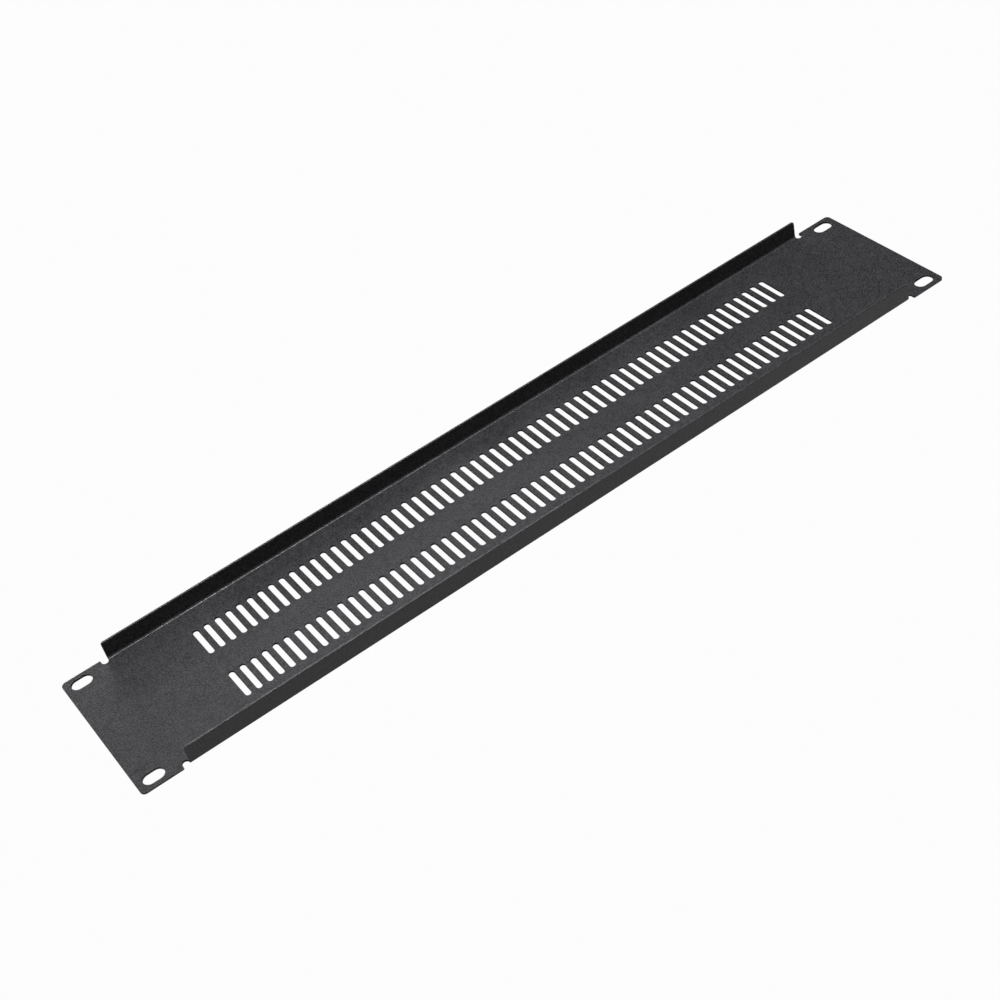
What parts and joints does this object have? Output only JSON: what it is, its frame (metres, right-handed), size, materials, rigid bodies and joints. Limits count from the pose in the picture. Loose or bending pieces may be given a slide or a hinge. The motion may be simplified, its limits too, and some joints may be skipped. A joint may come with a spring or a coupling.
{
  "type": "rack blanking panel",
  "caption": "Vented blanking panel for an equipment rack: a folded sheet with flanged long edges, relief notches, slotted ears and rows of vents.",
  "frame": {"origin": "middle of the front face, which the panel lies on", "axes": "+X along the panel's length, +Y across it, +Z from the front face to the back, the way the flanges stand"},
  "size_m": [0.4826, 0.0882, 0.0115],
  "materials": {
    "powder_coat": "black powder coat, satin, with a fine texture"
  },
  "bodies": {
    "root": {"blanking_panel": "powder_coat"}
  },
  "joints": []
}
